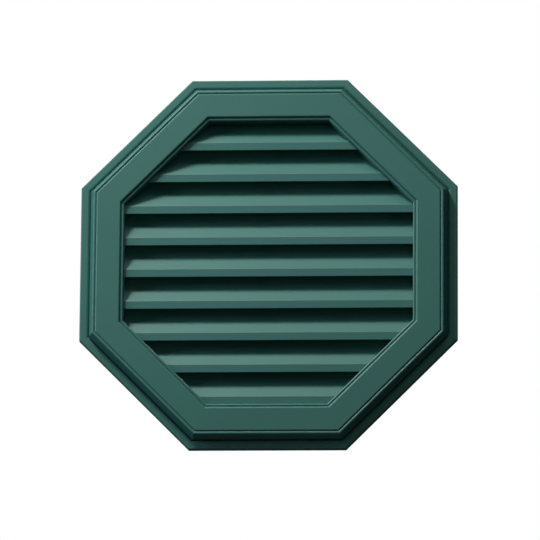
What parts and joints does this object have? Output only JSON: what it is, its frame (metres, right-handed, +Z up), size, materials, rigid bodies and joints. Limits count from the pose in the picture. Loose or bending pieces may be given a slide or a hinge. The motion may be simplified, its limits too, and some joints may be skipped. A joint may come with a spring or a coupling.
{
  "type": "gable vent",
  "caption": "Octagonal louvred gable vent: a moulded face frame and throat with fixed sloping louvers, a clip-on finish ring over a nailing flange, and an insect screen behind.",
  "frame": {"origin": "on the back of the nailing flange, in the middle of the octagon's bottom side", "axes": "+Z up, +Y into the wall, so the louvred face looks along -Y, and +X to the right of someone facing it"},
  "size_m": [0.559, 0.0468, 0.559],
  "materials": {
    "moulding": "satin moulded polypropylene, coloured through",
    "screen": "charcoal vinyl-coated glass-fibre insect mesh"
  },
  "bodies": {
    "root": {"face_panel": "moulding", "frame_side": "moulding", "throat": "moulding", "screen_rim": "moulding", "side_ribs": "moulding", "corner_ribs": "moulding", "nailing_flange": "moulding", "ratchet_teeth": "moulding", "finish_ring": "moulding", "louver_1": "moulding", "louver_2": "moulding", "louver_3": "moulding", "louver_4": "moulding", "louver_5": "moulding", "louver_6": "moulding", "louver_7": "moulding", "louver_8": "moulding", "louver_9": "moulding", "centre_bar": "moulding", "insect_screen": "screen", "screen_frame": "moulding", "screen_pins": "moulding"}
  },
  "joints": []
}
